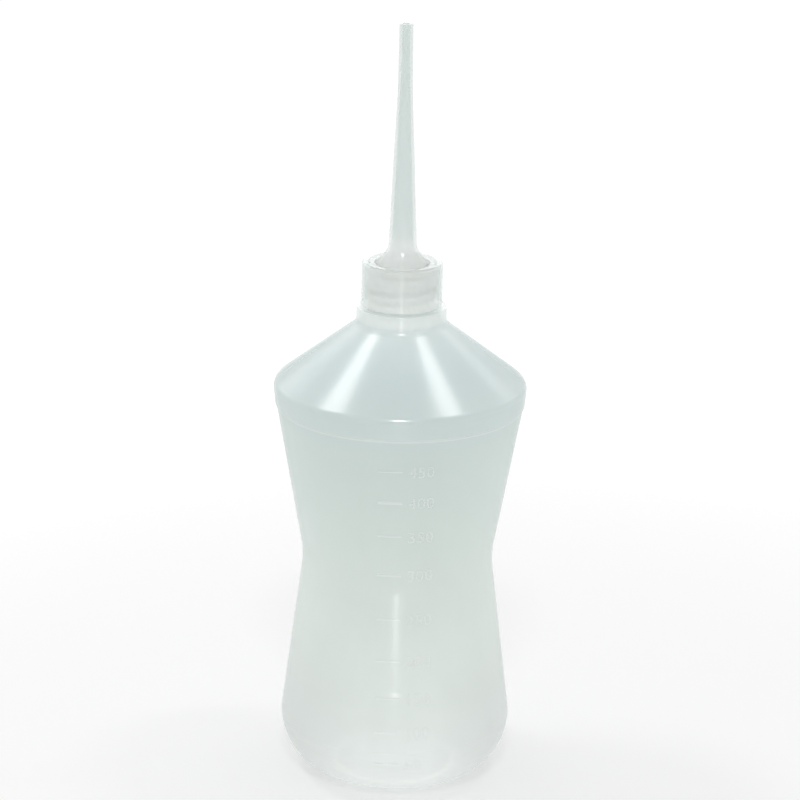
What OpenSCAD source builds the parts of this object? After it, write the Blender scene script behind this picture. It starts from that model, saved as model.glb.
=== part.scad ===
// Squeeze bottle with a waisted body, a screw collar and a long tapered nozzle.
// Millimetres, +Z up, origin on the axis at the plane that the foot stands on.
// The graduated side faces -Y.

/* [Base] */
// Outer radius of the flat ring that the bottle stands on
foot_r = 21; // [18:0.5:24]
// Width of that ring
foot_w = 1.6; // [1:0.2:2.4]
// Height of the pushed-up panel inside the ring
push_up = 2.6; // [1.8:0.2:3.6]
// Radius of the pushed-up panel
push_r = 14; // [11:0.5:15]
// Greatest radius of the lower body
base_r = 39.2; // [37.4:0.2:41]
// Height at which the lower body is widest
base_z = 19.5; // [17:0.5:22]

/* [Body] */
// Thickness of the blown wall
wall = 0.8; // [0.7:0.05:1.2]
// Radius of the waist, where the two cones would meet
waist_r = 31.9; // [30.4:0.3:33.4]
// Height of the waist
waist_z = 77; // [70:1:84]
// Radius of the blend between the two cones, seen from the side
waist_blend = 32; // [16:1:48]
// Radius at the top of the upper cone
cone_r = 41.3; // [39.8:0.1:41.6]
// Height of the full line, where the upper cone ends
full_z = 130.5; // [126:0.5:133]
// How far the shoulder band stands out past the full line
band_step = 0.45; // [0.3:0.05:0.6]
// Radius of the shoulder's edge
shoulder_r = 42.3; // [42:0.1:44]
// Height of the shoulder's edge
shoulder_z = 137.6; // [135:0.2:142]
// Rounding of the shoulder's edge
shoulder_round = 2.6; // [1.6:0.2:3.4]

/* [Neck] */
// Radius of the neck's root, below the collar
root_r = 15; // [14.2:0.1:16]
// Height of the plain root above the shoulder's cone
root_h = 5.6; // [5:0.2:8]
// Height at which the shoulder's cone meets the root
root_z = 158.6; // [156:0.2:163]
// Fillet between the shoulder and the root
root_fillet = 3.2; // [2:0.2:4]
// Outer radius of the neck under its thread
neck_r = 10.85; // [10.6:0.05:11.1]
// Thickness of the neck's wall
neck_wall = 2; // [1.6:0.1:2.4]
// Height of the neck above its root
finish_h = 12.7; // [12.4:0.1:14]

/* [Thread] */
// Rise of the thread in one turn
pitch = 3.175; // [3:0.025:3.4]
// Turns of thread on the neck
neck_turns = 2.25; // [1.5:0.25:2.25]
// Turns of thread in the collar
collar_turns = 2; // [1.25:0.25:2]
// Height of the thread above its wall
thread_h = 1.1; // [0.9:0.05:1.2]
// Width of the thread at its wall
thread_base = 1.7; // [1.5:0.05:1.8]
// Width of the thread at its crest
thread_crest = 0.8; // [0.6:0.05:1]
// Distance from the root's ledge to the middle of the thread's start
thread_rise = 2.6; // [2.4:0.1:3]
// Gap between each crest and the wall that it runs along
crest_gap = 0.35; // [0.3:0.05:0.45]
// Gap between the flanks that the tight thread bears on
flank_gap = 0.25; // [0.2:0.05:0.35]

/* [Collar] */
// Thickness of the collar's skirt
collar_wall = 1.2; // [1:0.05:1.5]
// Thickness of the collar's top
collar_top = 1.3; // [1.1:0.1:1.6]
// Gap between the collar and the root's ledge
collar_gap = 0.5; // [0.4:0.05:0.8]
// Rounding of the collar's top edge
collar_round = 0.9; // [0.5:0.1:1.1]
// Height of the raised lip round the collar's top
lip_h = 0.5; // [0.3:0.05:0.7]
// Width of the raised lip round the collar's top
lip_w = 2.2; // [1.8:0.1:2.6]

/* [Nozzle] */
// Thickness of the flange that is clamped on the neck's rim
flange_t = 1.2; // [1:0.1:1.5]
// Gap between the flange's edge and the collar's skirt
flange_gap = 0.4; // [0.3:0.05:0.5]
// Radius of the flare where it passes through the collar's top
flare_r = 8.8; // [8.4:0.1:9]
// Gap between the flare and the collar's hole
flare_gap = 0.3; // [0.25:0.05:0.4]
// Radius of the tube where it leaves the flare
tube_r = 4.85; // [4.6:0.05:5.2]
// Height of the tube's foot above the collar's top
tube_rise = 4; // [3.4:0.1:5]
// Fillet between the flare and the tube
tube_fillet = 7; // [4:0.5:8]
// Outer radius of the tip
tip_r = 2.25; // [2.1:0.05:2.4]
// Radius of the hole in the tip
orifice_r = 1.25; // [1.1:0.05:1.35]
// Length of the parallel hole in the tip
orifice_len = 12; // [10:0.5:16]
// Height of the tip above the collar's top
nozzle_len = 78.8; // [72:0.4:86]
// Wall of the nozzle at its foot
nozzle_wall = 1.2; // [1:0.05:1.4]
// Depth of the ring that plugs the neck's bore
plug_h = 2.2; // [1.6:0.1:3]
// Thickness of that ring
plug_wall = 1.2; // [1:0.1:1.4]
// Gap between that ring and the bore
plug_gap = 0.2; // [0.15:0.05:0.25]

/* [Scale] */
// Volume between two graduation marks, in millilitres
mark_ml = 50; // [45:5:60]
// Number of graduation marks below the full line
mark_count = 9; // [6:1:9]
// Length of a graduation mark
mark_len = 8; // [6:0.5:9]
// Width of a graduation mark
mark_w = 0.8; // [0.6:0.05:1]
// How far a graduation mark stands out
mark_h = 0.35; // [0.25:0.05:0.45]
// Sideways place of the middle of each mark
mark_x = -2.6; // [-4:0.2:-2]

/* [Hidden] */
$fn = 128;

// Steps of an arc in an outline, and of one turn of thread
arc_steps = 10;
turn_steps = 36;
// Depth to which a thread or mark sinks into the wall that carries it
sink = 0.4;
// Length of thread over which its end fades into the wall, in degrees
fade_deg = 40;
// Height of the rounded edge at the top of the neck's root
root_edge = 0.6;

// Heights and radii that follow from the sizes above
ledge_z = root_z + root_h;
rim_z = ledge_z + finish_h;
bore_r = neck_r - neck_wall;
thread_z = ledge_z + thread_rise;
collar_in_r = neck_r + thread_h + crest_gap;
collar_r = collar_in_r + collar_wall;
collar_z = ledge_z + collar_gap;
seat_z = rim_z + flange_t;
top_z = seat_z + collar_top;
hole_r = flare_r + flare_gap;
flange_r = collar_in_r - flange_gap;
tip_z = top_z + nozzle_len;
tube_z = top_z + tube_rise;

// Half-width that a thread loses for each millimetre of its height
flank_slope = (thread_base - thread_crest) / 2 / thread_h;
// Drop of the collar's thread below the neck's when the collar is tight
thread_drop = thread_crest + flank_slope * (thread_h - crest_gap) + flank_gap;
// Turn at which the collar's thread starts, a little above the skirt's end
skirt_end = 1.1;
collar_start = (collar_z + skirt_end - thread_z + thread_drop) / pitch;

function unit(v) = v / norm(v);
function lerp(a, b, t) = a + (b - a) * t;

// The corner b of a path from a to c, rounded with radius r and limited by its two sides
function corner(a, b, c, r) =
    let (u = unit(a - b), v = unit(c - b))
    let (half = acos(max(-1, min(1, u * v))) / 2)
    let (room = 0.48 * min(norm(a - b), norm(c - b)) * tan(half))
    let (rr = min(r, room))
    rr < 0.01 ? [b] :
    let (mid = b + unit(u + v) * rr / sin(half))
    let (p = b + u * rr / tan(half) - mid, q = b + v * rr / tan(half) - mid)
    let (sweep = 180 - 2 * half)
    [for (i = [0 : arc_steps])
        mid + (p * sin(sweep * (1 - i / arc_steps)) + q * sin(sweep * i / arc_steps)) / sin(sweep)];

// A path through corners given as [radius, height, rounding]
function rounded(c) =
    let (n = len(c))
    [for (i = [0 : n - 1])
        each (i == 0 || i == n - 1) ? [[c[i][0], c[i][1]]]
            : corner([c[i - 1][0], c[i - 1][1]], [c[i][0], c[i][1]], [c[i + 1][0], c[i + 1][1]], c[i][2])];

function backwards(path) = [for (i = [len(path) - 1 : -1 : 0]) path[i]];
function after_first(path) = [for (i = [1 : len(path) - 1]) path[i]];
function left_of(v) = [-v[1], v[0]];

// Corners moved to the left of their path by d, with each rounding made to follow
function inset(c, d) =
    let (n = len(c), p = [for (q = c) [q[0], q[1]]])
    [for (i = [0 : n - 1])
        let (u = unit(p[max(i, 1)] - p[max(i, 1) - 1]), v = unit(p[min(i, n - 2) + 1] - p[min(i, n - 2)]))
        let (q = p[i] + (left_of(u) + left_of(v)) * d / (1 + u * v))
        [q[0], q[1], max(0.1, c[i][2] - d * sign(u[0] * v[1] - u[1] * v[0]))]];

// The underside, from the middle of the pushed-up panel to the outer edge of the foot
foot = [
    [0, push_up, 0],
    [push_r, push_up, 3],
    [foot_r - foot_w, 0, 0.6],
    [foot_r, 0, 0]];
// The sides, from the widest part of the base to the top of the neck's root
walls = [
    [base_r, base_z, 0],
    [waist_r, waist_z, waist_blend],
    [cone_r, full_z, 0.2],
    [cone_r + band_step, full_z + band_step, 0.2],
    [shoulder_r, shoulder_z, shoulder_round],
    [root_r, root_z, root_fillet],
    [root_r, ledge_z - root_edge, 0]];

// A quarter of an ellipse between the foot and the sides, d inside the skin
function heel(d) =
    [for (i = [1 : 2 * arc_steps])
        let (t = 90 * i / (2 * arc_steps))
        [foot_r + (base_r - d - foot_r) * sin(t), base_z - (base_z - d) * cos(t)]];

// The blown body's outline from the axis to the neck's root, d inside the skin
function outline(d) = concat(rounded(inset(foot, d)), heel(d), after_first(rounded(inset(walls, d))));

// Inside of the body up to the neck's root, and from there up the bore
inside = [for (p = outline(wall)) if (p[1] < root_z - root_fillet) p];
throat = after_first(rounded([
    [inside[len(inside) - 1][0], inside[len(inside) - 1][1], 0],
    [root_r - neck_wall, root_z + 0.4, 2],
    [root_r - neck_wall, ledge_z - neck_wall - 1, 1.5],
    [bore_r, ledge_z - 0.5, 1.5],
    [bore_r, rim_z, 0]]));

// Millilitres inside the body below each of its points, and the height of a given volume
function frustum(a, b) = PI / 3 * (b[1] - a[1]) * (a[0] * a[0] + a[0] * b[0] + b[0] * b[0]) / 1000;
function parted(path) = [for (i = [1 : len(path) - 1], t = [1 : 4]) lerp(path[i - 1], path[i], t / 4)];
function sums(path, i, total) =
    i == len(path) ? []
        : let (sum = total + frustum(path[i - 1], path[i])) concat([[sum, path[i][1]]], sums(path, i + 1, sum));
heights = sums(parted(inside), 1, 0);
skin = [for (p = outline(0)) if (p[1] > base_z && p[1] < full_z) [p[1], p[0]]];
function height_of(ml) = lookup(ml, heights);
function skin_r(z) = lookup(z, concat([for (p = heel(0)) [p[1], p[0]]], skin));

// A ridge of thread on a wall of radius r. side is 1 outside and -1 inside. It follows the helix that
// crosses the +X axis at height z, from one turn after that to another.
module thread(r, z, from, turns, side) {
    n = round(turns * turn_steps);
    sunk = thread_base / 2 + flank_slope * sink;
    function ring(i) =
        let (a = 360 * (from + i / turn_steps), last = min(i, n - i) * 360 / turn_steps)
        let (h = thread_h * min(1, last / fade_deg - 0.15), half = thread_base / 2 - flank_slope * h)
        [for (p = [[-sink, -sunk], [h, -half], [h, half], [-sink, sunk]])
            [(r + side * p[0]) * cos(a), (r + side * p[0]) * sin(a), z + pitch * a / 360 + p[1]]];
    function quad(a, b, c, d) = side > 0 ? [[c, b, a], [d, c, a]] : [[a, b, c], [a, c, d]];
    points = [for (i = [0 : n]) each ring(i)];
    faces = concat(
        quad(0, 1, 2, 3),
        quad(4 * n + 3, 4 * n + 2, 4 * n + 1, 4 * n),
        [for (i = [0 : n - 1], k = [0 : 3])
            each quad(4 * i + k, 4 * i + 4 + k, 4 * i + 4 + (k + 1) % 4, 4 * i + (k + 1) % 4)]);
    polyhedron(points, faces, convexity = 8);
}

// A ring of wall that stands out by mark_h, from which one graduation mark is cut
module mark(ml) {
    z = height_of(ml);
    low = z - mark_w / 2;
    high = z + mark_w / 2;
    intersection() {
        rotate_extrude()
            polygon([
                [skin_r(low) - sink, low],
                [skin_r(low) + mark_h, low],
                [skin_r(high) + mark_h, high],
                [skin_r(high) - sink, high]]);
        translate([mark_x - mark_len / 2, -base_r - shoulder_r, low - 1])
            cube([mark_len, base_r + shoulder_r, mark_w + 2]);
    }
}

// The blown bottle: one piece from its foot to its threaded neck
module bottle() {
    color([0.86, 0.9, 0.88, 0.6]) {
        union() {
            rotate_extrude()
                polygon(concat(
                    outline(0),
                    after_first(rounded([
                        [root_r, ledge_z - root_edge, 0],
                        [root_r, ledge_z, 0.5],
                        [neck_r, ledge_z, 0.4],
                        [neck_r, rim_z, 0.4],
                        [bore_r, rim_z, 0]])),
                    after_first(backwards(throat)),
                    backwards(inside)));
            thread(neck_r, thread_z, 0, neck_turns, 1);
            for (i = [1 : mark_count])
                mark(mark_ml * i);
        }
    }
}

// The collar that screws on the neck and clamps the nozzle's flange
module screw_collar() {
    bead_z = rim_z - 0.2;
    bead_r = flange_r - 0.55;
    color([0.9, 0.92, 0.9, 0.7]) {
        union() {
            rotate_extrude()
                polygon(concat(
                    rounded([
                        [collar_in_r + 0.25, collar_z, 0],
                        [collar_r, collar_z, 0.35],
                        [collar_r, top_z, collar_round],
                        [collar_r - lip_w, top_z, 0.3],
                        [collar_r - lip_w - lip_h, top_z - lip_h, 0.3],
                        [hole_r, top_z - lip_h, 0.2],
                        [hole_r, seat_z, 0]]),
                    after_first(rounded([
                        [hole_r, seat_z, 0],
                        [collar_in_r, seat_z, 0],
                        [collar_in_r, bead_z, 0],
                        [bead_r, bead_z - 0.35, 0.1],
                        [collar_in_r, bead_z - 1.1, 0.1],
                        [collar_in_r, collar_z + 0.25, 0]]))));
            thread(collar_in_r, thread_z - thread_drop, collar_start, collar_turns, -1);
        }
    }
}

// The nozzle: a flange and plug below, a flare and a long tapered tube above
module nozzle() {
    plug_r = bore_r - plug_gap;
    knee_z = lerp(tube_z, tip_z, 0.5);
    land_z = lerp(tube_z, tip_z, 0.7);
    color([0.8, 0.86, 0.83, 0.7])
        rotate_extrude()
            polygon(concat(
                rounded([
                    [plug_r, rim_z - plug_h, 0],
                    [plug_r, rim_z, 0],
                    [flange_r, rim_z, 0.15],
                    [flange_r, seat_z, 0.3],
                    [flare_r, seat_z, 0.1],
                    [flare_r, top_z - lip_h, 0.8],
                    [tube_r, tube_z, tube_fillet],
                    [lerp(tube_r, tip_r, 0.62), knee_z, 60],
                    [lerp(tube_r, tip_r, 0.9), land_z, 60],
                    [tip_r, tip_z, 0.35],
                    [orifice_r, tip_z, 0]]),
                after_first(rounded([
                    [orifice_r, tip_z, 0],
                    [orifice_r, tip_z - orifice_len, 0],
                    [tube_r - nozzle_wall, tube_z, 4],
                    [plug_r - plug_wall, seat_z, 1],
                    [plug_r - plug_wall, rim_z - plug_h, 0]]))));
}

bottle();
screw_collar();
nozzle();
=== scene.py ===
"""A milky squeeze bottle with a screw collar and a long nozzle, on a white ground."""

import math

import bmesh
import bpy
from mathutils import Euler, Matrix, Vector


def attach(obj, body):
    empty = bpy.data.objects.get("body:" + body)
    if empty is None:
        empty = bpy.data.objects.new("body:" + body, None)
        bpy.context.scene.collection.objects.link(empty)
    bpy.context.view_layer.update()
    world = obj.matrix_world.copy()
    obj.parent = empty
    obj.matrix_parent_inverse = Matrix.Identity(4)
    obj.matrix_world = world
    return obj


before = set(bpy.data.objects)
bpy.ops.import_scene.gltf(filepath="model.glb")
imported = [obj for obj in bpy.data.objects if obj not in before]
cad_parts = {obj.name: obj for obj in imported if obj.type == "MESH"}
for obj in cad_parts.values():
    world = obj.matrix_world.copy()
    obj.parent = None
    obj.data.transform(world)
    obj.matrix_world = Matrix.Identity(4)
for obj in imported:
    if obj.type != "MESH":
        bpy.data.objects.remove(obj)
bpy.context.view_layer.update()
bpy.context.scene.view_settings.view_transform = "Standard"

WHITE = (1, 1, 1, 1)

# The photograph's camera, fitted to the bottle's outline. Metres and degrees.
IMAGE_PX = 800
CAMERA_BACK = 0.9018
CAMERA_HEIGHT = 0.4283
CAMERA_PITCH = 18.24
CAMERA_ROLL = 0.99
CAMERA_NEAR = 0.01
FOCAL_PX = 2837.9
SENSOR_MM = 36.0

# The stage. The floor is lifted towards white, more from the near to the far distance.
FLOOR_RADIUS = 4.0
FLOOR_SIDES = 96
FLOOR_COLOUR = (0.93, 0.93, 0.93, 1.0)
FLOOR_LIFT = 0.06
FAR_LIFT = 0.34
FAR = (0.12, 0.75)
WORLD_LIGHT = 0.72

# The shoulder's cone, which mirrors long lamps to the camera: radius and height of its ends
CONE_TOP = (0.0175, 0.1567)
CONE_FOOT = (0.0400, 0.1394)
# Those lamps: name, azimuths on the cone's top and foot, width and power
STREAKS = (
    ("left_lamp", -28, -38, 0.19, 0.8),
    ("right_lamp", 24, 23, 0.2, 0.5),
    ("left_side_lamp", -58, -78, 0.55, 0.5),
    ("right_side_lamp", 58, 66, 0.55, 0.28))
STREAK_DISTANCE = 0.9
STREAK_SPARE = 1.1
# Strips just above the floor that the lower front mirrors: name, near and far end, width and power
STRIPS = (
    ("near_strip", -0.31, -0.38, 0.025, 0.012),
    ("far_strip", -0.40, -0.54, 0.035, 0.2))
STRIP_HEIGHT = 0.003
# Aimed lamps: name, direction, distance, size, power, aim, and whether they light dull surfaces
LAMPS = (
    ("front_lamp", (0.0, -0.72, 0.7), 0.9, (0.12, 0.12), 0.9, (0, 0, 0.15), True),
    ("glint_lamp", (0.0, -0.72, 0.7), 0.9, (0.05, 0.05), 1.1, (0, 0, 0.15), False),
    ("back_lamp", (0.1, 1.0, 0.36), 1.2, (0.5, 0.2), 0.65, (0, 0, 0.18), True))

# The plastics' tints by height in metres; the body's and the nozzle's also hold painted light
# The body: partly the plastic's own tone, partly painted light, lighter towards the foot and at
# the neck's root where light comes through the plastic
BODY_TINTS_AND_PAINTED_LIGHT = (
    (0.0, (0.98, 1.0, 0.99)), (0.018, (0.94, 0.98, 0.96)), (0.035, (0.83, 0.90, 0.86)),
    (0.07, (0.77, 0.84, 0.79)), (0.125, (0.59, 0.69, 0.66)), (0.146, (0.60, 0.72, 0.73)),
    (0.154, (0.70, 0.81, 0.81)), (0.1595, (0.75, 0.85, 0.84)), (0.1605, (0.95, 0.98, 0.96)),
    (0.162, (0.94, 0.97, 0.95)), (0.18, (0.94, 0.97, 0.95)))
COLLAR_TINTS = ((0.16, (0.98, 1.0, 0.98)), (0.18, (0.98, 1.0, 0.98)))
# The nozzle: its flare paler than its tube, partly the plastic's own tone and partly painted light
# falling on it
NOZZLE_TINTS_AND_PAINTED_LIGHT = (
    (0.17, (0.99, 1.0, 0.99)), (0.183, (0.99, 1.0, 0.99)), (0.189, (0.72, 0.80, 0.78)),
    (0.2, (0.70, 0.78, 0.76)), (0.26, (0.70, 0.78, 0.76)))
FIGURE_TINTS = ((0.0, (0.95, 0.97, 0.96)), (0.13, (0.95, 0.97, 0.96)))

# Their finish: roughness, the height of the fine waves, the clear coat's index, and how much of
# the gloss is left at grazing angles
SATIN = {"roughness": (0.3, 0.36), "waves": 0.00001, "coat": 1.9, "edge": 0.25}
SMOOTH = {"roughness": (0.2, 0.25), "waves": 0.00001, "coat": 1.6, "edge": 0.8}
# The plastics: tints, each surface's opacity, how much light the depth takes, and finish. The
# relief is sunk into the wall, whose depth already takes its light, so it has none of its own.
BODY = {"tints": BODY_TINTS_AND_PAINTED_LIGHT, "opacity": 0.42, "depth": 40.0, **SATIN, "waves": 0.00005}
COLLAR = {"tints": COLLAR_TINTS, "opacity": 0.36, "depth": 110.0, **SMOOTH}
NOZZLE = {"tints": NOZZLE_TINTS_AND_PAINTED_LIGHT, "opacity": 0.42, "depth": 45.0, **SMOOTH}
RELIEF = {"tints": FIGURE_TINTS, "opacity": 0.2, "depth": None, **SATIN}
PLASTIC_IOR = 1.51
PLASTIC_SPECULAR = 0.5
COAT_ROUGHNESS = 0.2
GRAZING = (0.6, 0.95)
# Noise: bumps to the metre, and the part of its range that counts
CLOUD_NOISE = 22.0
CLOUD_DETAIL = 3.0
SATIN_NOISE = 140.0
WAVE_NOISE = 420.0
WAVE_STRENGTH = 0.25
CLOUD_RANGE = (0.25, 0.75)
SATIN_RANGE = (0.3, 0.7)
CLOUDING = 0.03
DEPTH_COLOUR = (0.66, 0.76, 0.73, 1)

# Painted shade and light: how much darker the bottle's sides are painted at the foot, and lighter
# above, and where that sets in
SIDE_SHADE = (-0.15, 0.05)
SIDE_X = (0.012, 0.034)
SIDE_Z = (0.02, 0.06)

# The raised marks and the step at the full line get a painted highlight: how much lighter, and
# where they are
RELIEF_HIGHLIGHT = WHITE
MARK_HIGHLIGHT = 0.4
MARK_REACH = (-0.0066, 0.0014)
MARK_HALF = 0.00042
FULL_LINE_HIGHLIGHT = 0.28
FULL_HEIGHT = 0.1305
FULL_HALF = 0.00056

# The graduation: each number, and its mark's height. The numbers' size, place and relief.
MARKS = (
    (50, 0.01535), (100, 0.02647), (150, 0.03823), (200, 0.05106), (250, 0.06525),
    (300, 0.08079), (350, 0.09530), (400, 0.10796), (450, 0.11930))
FIGURE_SIZE = 0.0056
FIGURE_SPACING = 1.06
FIGURE_LEFT = 0.0032
FIGURE_PROUD = 0.0002
FIGURE_SUNK = 0.0001
FIGURE_BEVEL = 0.00004
SAME_POINT = 0.000002
BODY_RADIUS = 0.035
OUTSIDE_RADIUS = 0.1

# The parting line that the mould leaves up both sides: its section, and its points' heights
SEAM_WIDTH = 0.0004
SEAM_PROUD = 0.00008
SEAM_SECTION = ((-1.0, -0.6), (-0.7, 0.35), (0.0, 1.0), (0.7, 0.35), (1.0, -0.6))
SEAM_HEIGHTS = ([0.0008 + 0.0001 * i * i for i in range(12)]
                + [0.014 + 0.002 * i for i in range(75)])


def node_with(tree, kind, **values):
    """A shader node of that kind, with its named inputs set."""
    node = tree.nodes.new(kind)
    for name, value in values.items():
        node.inputs[name.replace("_", " ")].default_value = value
    return node


def math_node(tree, operation, first, second):
    """A math node's result, from numbers or other nodes' outputs."""
    node = tree.nodes.new("ShaderNodeMath")
    node.operation = operation
    for socket, value in zip(node.inputs, (first, second)):
        if isinstance(value, (int, float)):
            socket.default_value = value
        else:
            tree.links.new(value, socket)
    return node.outputs[0]


def spread(tree, value, low, high, start=0.0, end=1.0, kind="LINEAR"):
    """That value, moved from start..end to low..high."""
    node = tree.nodes.new("ShaderNodeMapRange")
    node.interpolation_type = kind
    node.inputs["From Min"].default_value = start
    node.inputs["From Max"].default_value = end
    node.inputs["To Min"].default_value = low
    node.inputs["To Max"].default_value = high
    tree.links.new(value, node.inputs["Value"])
    return node.outputs["Result"]


def scaled(tree, colour, factor):
    """That colour times that factor."""
    node = tree.nodes.new("ShaderNodeVectorMath")
    node.operation = "SCALE"
    tree.links.new(colour, node.inputs[0])
    tree.links.new(factor, node.inputs["Scale"])
    return node.outputs[0]


def axes(tree, place):
    """The x, y and z of a place."""
    split = tree.nodes.new("ShaderNodeSeparateXYZ")
    tree.links.new(place, split.inputs[0])
    return split.outputs


def noise(tree, place, scale, detail=2.0):
    """Noise from 0 to 1, so many bumps to the metre."""
    node = node_with(tree, "ShaderNodeTexNoise", Scale=scale, Detail=detail)
    tree.links.new(place, node.inputs["Vector"])
    return node.outputs["Fac"]


def mixed(tree, factor, first, second):
    """One shader where the factor is 0 and the other where it is 1."""
    mix = tree.nodes.new("ShaderNodeMixShader")
    tree.links.new(factor, mix.inputs["Fac"])
    tree.links.new(first, mix.inputs[1])
    tree.links.new(second, mix.inputs[2])
    return mix.outputs[0]


def ray_is(tree, *kinds):
    """A value of 1 for rays of those kinds, and 0 for the rest."""
    rays = tree.nodes.new("ShaderNodeLightPath")
    total = rays.outputs[kinds[0]]
    for kind in kinds[1:]:
        total = math_node(tree, "MAXIMUM", total, rays.outputs[kind])
    return total


def blank_material(name):
    """A material with an output and nothing else, and its node tree."""
    material = bpy.data.materials.new(name)
    material.use_nodes = True
    tree = material.node_tree
    tree.nodes.clear()
    output = tree.nodes.new("ShaderNodeOutputMaterial")
    return material, tree, output


def make_camera():
    """The camera stands in front of the bottle, looks down on it and leans a little."""
    data = bpy.data.cameras.new("camera")
    data.sensor_width = SENSOR_MM
    data.lens = FOCAL_PX * SENSOR_MM / IMAGE_PX
    data.clip_start = CAMERA_NEAR
    camera = bpy.data.objects.new("camera", data)
    bpy.context.scene.collection.objects.link(camera)
    look = Euler((math.radians(90 - CAMERA_PITCH), 0, 0)).to_matrix().to_4x4()
    lean = Matrix.Rotation(math.radians(CAMERA_ROLL), 4, "Z")
    camera.matrix_world = Matrix.Translation((0, -CAMERA_BACK, CAMERA_HEIGHT)) @ look @ lean
    bpy.context.scene.camera = camera


def make_world():
    """Even white light from all round, and white where nothing stands."""
    world = bpy.data.worlds.new("studio")
    bpy.context.scene.world = world
    world.use_nodes = True
    tree = world.node_tree
    tree.nodes.clear()
    output = tree.nodes.new("ShaderNodeOutputWorld")
    lit = node_with(tree, "ShaderNodeBackground", Color=WHITE, Strength=WORLD_LIGHT)
    white = node_with(tree, "ShaderNodeBackground", Color=WHITE, Strength=1.0)
    seen = ray_is(tree, "Is Camera Ray", "Is Glossy Ray", "Is Transmission Ray")
    tree.links.new(mixed(tree, seen, lit.outputs[0], white.outputs[0]), output.inputs["Surface"])


def make_floor():
    """A round white floor that keeps the bottle's soft shadow."""
    bpy.ops.mesh.primitive_circle_add(vertices=FLOOR_SIDES, radius=FLOOR_RADIUS, fill_type="NGON")
    floor = bpy.context.object
    floor.name = "floor"
    material, tree, output = blank_material("floor_white")
    paper = node_with(tree, "ShaderNodeBsdfDiffuse", Color=FLOOR_COLOUR)
    glow = node_with(tree, "ShaderNodeEmission", Color=WHITE)
    far = tree.nodes.new("ShaderNodeVectorMath")
    far.operation = "LENGTH"
    tree.links.new(tree.nodes.new("ShaderNodeTexCoord").outputs["Object"], far.inputs[0])
    lift = spread(tree, far.outputs["Value"], FLOOR_LIFT, FAR_LIFT, *FAR, kind="SMOOTHSTEP")
    tree.links.new(lift, glow.inputs["Strength"])
    lifted = tree.nodes.new("ShaderNodeAddShader")
    tree.links.new(paper.outputs[0], lifted.inputs[0])
    tree.links.new(glow.outputs[0], lifted.inputs[1])
    white = node_with(tree, "ShaderNodeEmission", Color=WHITE, Strength=1.0)
    look = mixed(tree, ray_is(tree, "Is Camera Ray"), white.outputs[0], lifted.outputs[0])
    tree.links.new(look, output.inputs["Surface"])
    floor.data.materials.append(material)


def area_lamp(name, size, watts):
    """A rectangular lamp that the camera doesn't see, still to be placed."""
    data = bpy.data.lights.new(name, "AREA")
    data.shape = "RECTANGLE"
    data.size, data.size_y = size
    data.energy = watts
    lamp = bpy.data.objects.new(name, data)
    lamp.visible_camera = False
    bpy.context.scene.collection.objects.link(lamp)
    return lamp


def aimed_lamp(name, direction, distance, size, watts, aim, lights_all):
    """A lamp at that direction from the point that it is aimed at."""
    lamp = area_lamp(name, size, watts)
    away = Vector(direction).normalized()
    lamp.location = Vector(aim) + away * distance
    lamp.rotation_euler = away.to_track_quat("Z", "Y").to_euler()
    lamp.visible_diffuse = lights_all


def long_lamp(name, centre, along, away, width, watts):
    """A lamp that is long along one direction and faces back along the other."""
    lamp = area_lamp(name, (width, along.length), watts)
    across = along.cross(away).normalized()
    turn = Matrix((across, away.cross(across), away)).transposed().to_4x4()
    lamp.matrix_world = Matrix.Translation(centre) @ turn


def streak_light(name, top_azimuth, foot_azimuth, width, watts):
    """A long lamp whose mirror image runs down the shoulder, from and to those azimuths."""
    camera = Vector((0, -CAMERA_BACK, CAMERA_HEIGHT))
    slope = Vector((CONE_TOP[1] - CONE_FOOT[1], CONE_FOOT[0] - CONE_TOP[0])).normalized()
    ends, hits = [], []
    for (radius, height), azimuth in ((CONE_TOP, top_azimuth), (CONE_FOOT, foot_azimuth)):
        turn = math.radians(azimuth)
        out = Vector((math.sin(turn), -math.cos(turn), 0))
        point = out * radius + Vector((0, 0, height))
        normal = out * slope.x + Vector((0, 0, slope.y))
        view = (camera - point).normalized()
        ends.append(point + (2 * normal.dot(view) * normal - view) * STREAK_DISTANCE)
        hits.append(point)
    centre = (ends[0] + ends[1]) / 2
    away = (centre - (hits[0] + hits[1]) / 2).normalized()
    long_lamp(name, centre, (ends[0] - ends[1]) * STREAK_SPARE, away, width, watts)


def strip_light(name, near, far, width, watts):
    """A long lamp that lies in front of the bottle and faces up."""
    middle = Vector((0, (near + far) / 2, STRIP_HEIGHT))
    long_lamp(name, middle, Vector((0, near - far, 0)), Vector((0, 0, -1)), width, watts)


def height_tints(tree, place, tints):
    """The colour at each height, a little cloudy, from pairs of height and colour."""
    bottom, top = tints[0][0], tints[-1][0]
    climb = spread(tree, axes(tree, place)["Z"], 0, 1, bottom, top)
    ramp = tree.nodes.new("ShaderNodeValToRGB")
    ramp.color_ramp.interpolation = "B_SPLINE"
    marks = ramp.color_ramp.elements
    while len(marks) < len(tints):
        marks.new(0.5)
    for mark, (height, colour) in zip(marks, tints):
        mark.position = (height - bottom) / (top - bottom)
        mark.color = (*colour, 1)
    tree.links.new(climb, ramp.inputs[0])
    cloud = noise(tree, place, CLOUD_NOISE, CLOUD_DETAIL)
    return scaled(tree, ramp.outputs[0],
                  spread(tree, cloud, 1 - CLOUDING, 1 + CLOUDING, *CLOUD_RANGE))


def side_shade(tree, place, tint):
    """The tint with painted shade, darker towards the sides at the foot, and painted light, a
    little lighter towards them above.
    """
    x, _, z = axes(tree, place)
    side = spread(tree, math_node(tree, "ABSOLUTE", x, 0), 0, 1, *SIDE_X)
    amount = math_node(tree, "MULTIPLY", side, spread(tree, z, *SIDE_SHADE, *SIDE_Z))
    return scaled(tree, tint, math_node(tree, "ADD", amount, 1))


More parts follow.
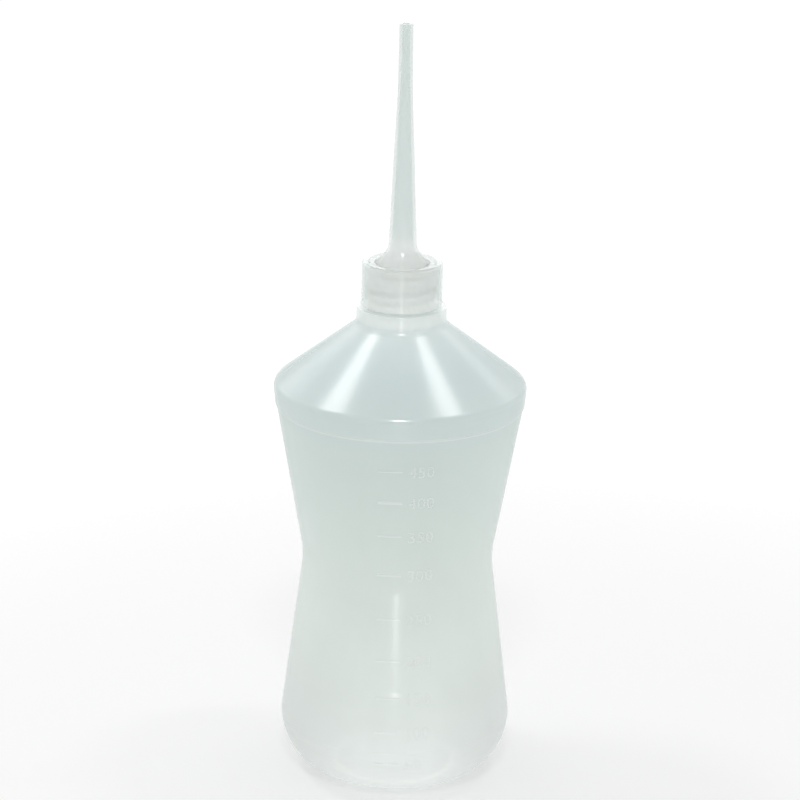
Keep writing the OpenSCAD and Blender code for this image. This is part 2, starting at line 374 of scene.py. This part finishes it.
def relief_mask(tree, place):
    """How far the painted highlight shows: on the marks, less on the full line, and not elsewhere.
    """
    x, y, z = axes(tree, place)
    ramp = tree.nodes.new("ShaderNodeValToRGB")
    ramp.color_ramp.interpolation = "CONSTANT"
    steps = ramp.color_ramp.elements
    while len(steps) < 2 * len(MARKS) + 1:
        steps.new(1.0)
    steps[0].position, steps[0].color = 0.0, (0, 0, 0, 1)
    for k, (_, height) in enumerate(MARKS):
        for step, edge, level in ((2 * k + 1, -MARK_HALF, 1), (2 * k + 2, MARK_HALF, 0)):
            steps[step].position = (height + edge) / FULL_HEIGHT
            steps[step].color = (level, level, level, 1)
    tree.links.new(math_node(tree, "DIVIDE", z, FULL_HEIGHT), ramp.inputs[0])
    middle, half = sum(MARK_REACH) / 2, (MARK_REACH[1] - MARK_REACH[0]) / 2
    beside = math_node(tree, "ABSOLUTE", math_node(tree, "SUBTRACT", x, middle), 0)
    near = math_node(tree, "LESS_THAN", beside, half)
    front = math_node(tree, "LESS_THAN", y, 0)
    mark = math_node(tree, "MULTIPLY", ramp.outputs[0], math_node(tree, "MULTIPLY", near, front))
    mark = math_node(tree, "MULTIPLY", mark, MARK_HIGHLIGHT)
    off_line = math_node(tree, "ABSOLUTE", math_node(tree, "SUBTRACT", z, FULL_HEIGHT), 0)
    line = math_node(tree, "LESS_THAN", off_line, FULL_HALF)
    return math_node(tree, "MAXIMUM", mark, math_node(tree, "MULTIPLY", line, FULL_LINE_HIGHLIGHT))


def body_tint(tree, place, tint):
    """The bottle's tint, with painted shade and light at its sides and painted highlights on its
    marks and full line.
    """
    lit = tree.nodes.new("ShaderNodeMixRGB")
    lit.inputs["Color2"].default_value = RELIEF_HIGHLIGHT
    tree.links.new(relief_mask(tree, place), lit.inputs["Fac"])
    tree.links.new(side_shade(tree, place, tint), lit.inputs["Color1"])
    return lit.outputs[0]


def milky_plastic(name, tints, opacity, depth, roughness, waves, coat, edge, is_body=False):
    """Thin milky polyethylene: each surface scatters part of the light and lets the rest by."""
    material, tree, output = blank_material(name)
    place = tree.nodes.new("ShaderNodeTexCoord").outputs["Object"]
    skin = node_with(tree, "ShaderNodeBsdfPrincipled", IOR=PLASTIC_IOR, Alpha=opacity,
                     Coat_Roughness=COAT_ROUGHNESS, Coat_IOR=coat)
    facing = node_with(tree, "ShaderNodeLayerWeight", Blend=0.5).outputs["Facing"]
    for socket, gloss in (("Coat Weight", 1.0), ("Specular IOR Level", PLASTIC_SPECULAR)):
        tree.links.new(spread(tree, facing, gloss, gloss * edge, *GRAZING), skin.inputs[socket])
    if depth:
        inside = node_with(tree, "ShaderNodeVolumeAbsorption", Color=DEPTH_COLOUR, Density=depth)
        tree.links.new(inside.outputs[0], output.inputs["Volume"])
    tint = height_tints(tree, place, tints)
    # On the bottle, painted shade and light at the sides and painted highlights on the marks and
    # full line
    if is_body:
        tint = body_tint(tree, place, tint)
    tree.links.new(tint, skin.inputs["Base Color"])
    satin = spread(tree, noise(tree, place, SATIN_NOISE), *roughness, *SATIN_RANGE)
    tree.links.new(satin, skin.inputs["Roughness"])
    bump = node_with(tree, "ShaderNodeBump", Strength=WAVE_STRENGTH, Distance=waves)
    tree.links.new(noise(tree, place, WAVE_NOISE), bump.inputs["Height"])
    tree.links.new(bump.outputs[0], skin.inputs["Normal"])
    tree.links.new(skin.outputs[0], output.inputs["Surface"])
    return material


def dress(node, material):
    """Gives a node of the frame its material."""
    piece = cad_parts[node]
    piece.data.materials.clear()
    piece.data.materials.append(material)


def skin_point(height, azimuth):
    """The point of the bottle's outside at that height, and at that angle from the front."""
    out = Vector((math.sin(azimuth), -math.cos(azimuth), 0))
    start = out * OUTSIDE_RADIUS + Vector((0, 0, height))
    found, point, normal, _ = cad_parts["bottle"].ray_cast(start, -out)
    assert found
    return point, normal


def placed(name, mesh):
    """An object of that mesh in the scene."""
    piece = bpy.data.objects.new(name, mesh)
    bpy.context.scene.collection.objects.link(piece)
    return piece


def raised_number(number, height):
    """A number that stands out of the bottle's skin, right of its graduation mark."""
    curve = bpy.data.curves.new("figure", "FONT")
    curve.body = str(number)
    curve.size = FIGURE_SIZE
    curve.space_character = FIGURE_SPACING
    curve.resolution_u = 4
    curve.extrude = (FIGURE_PROUD + FIGURE_SUNK) / 2
    curve.bevel_depth = FIGURE_BEVEL
    curve.bevel_resolution = 1
    word = placed("figure", curve)
    bpy.context.view_layer.update()
    flat = word.evaluated_get(bpy.context.evaluated_depsgraph_get())
    mesh = bpy.data.meshes.new_from_object(flat)
    bpy.data.objects.remove(word)
    bm = bmesh.new()
    bm.from_mesh(mesh)
    bmesh.ops.remove_doubles(bm, verts=bm.verts, dist=SAME_POINT)
    tall = max(v.co.y for v in bm.verts)
    thick = max(v.co.z for v in bm.verts)
    radius = skin_point(height, FIGURE_LEFT / BODY_RADIUS)[0].xy.length
    for v in bm.verts:
        azimuth = (FIGURE_LEFT + v.co.x) / radius
        point, normal = skin_point(height + v.co.y - tall / 2, azimuth)
        level = (v.co.z + thick) / (2 * thick)
        v.co = point + normal * (level * (FIGURE_PROUD + FIGURE_SUNK) - FIGURE_SUNK)
    bm.to_mesh(mesh)
    bm.free()
    return placed("number_%03d" % number, mesh)


def parting_line(name, sign):
    """The mould's parting line up one side of the bottle, from its foot to its root."""
    verts = []
    side = Vector((0, 1, 0))
    for height in SEAM_HEIGHTS:
        point, normal = skin_point(height, sign * math.pi / 2)
        for across, up in SEAM_SECTION:
            verts.append(point + side * (across * SEAM_WIDTH / 2) + normal * (up * SEAM_PROUD))
    n = len(SEAM_SECTION)
    last = len(verts) - n
    faces = [tuple(range(n))[::-1], tuple(range(last, last + n))]
    for start in range(0, last, n):
        for k in range(n):
            a, b = start + k, start + (k + 1) % n
            faces.append((a, b, b + n, a + n))
    mesh = bpy.data.meshes.new(name)
    mesh.from_pydata(verts, [], faces)
    bm = bmesh.new()
    bm.from_mesh(mesh)
    bmesh.ops.recalc_face_normals(bm, faces=bm.faces)
    bm.to_mesh(mesh)
    bm.free()
    return placed(name, mesh)


def finish_piece(piece, material):
    """Gives the piece its material, and rides it on the bottle in its plastic's slot."""
    piece.data.materials.append(material)
    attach(piece, "bottle")


make_camera()
make_world()
make_floor()
for streak in STREAKS:
    streak_light(*streak)
for strip in STRIPS:
    strip_light(*strip)
for lamp in LAMPS:
    aimed_lamp(*lamp)

dress("bottle", milky_plastic("body_plastic", **BODY, is_body=True))
dress("screw_collar", milky_plastic("collar_plastic", **COLLAR))
dress("nozzle", milky_plastic("nozzle_plastic", **NOZZLE))
relief_plastic = milky_plastic("relief_plastic", **RELIEF)
for number, height in MARKS:
    finish_piece(raised_number(number, height), relief_plastic)
finish_piece(parting_line("parting_line_left", -1), relief_plastic)
finish_piece(parting_line("parting_line_right", 1), relief_plastic)
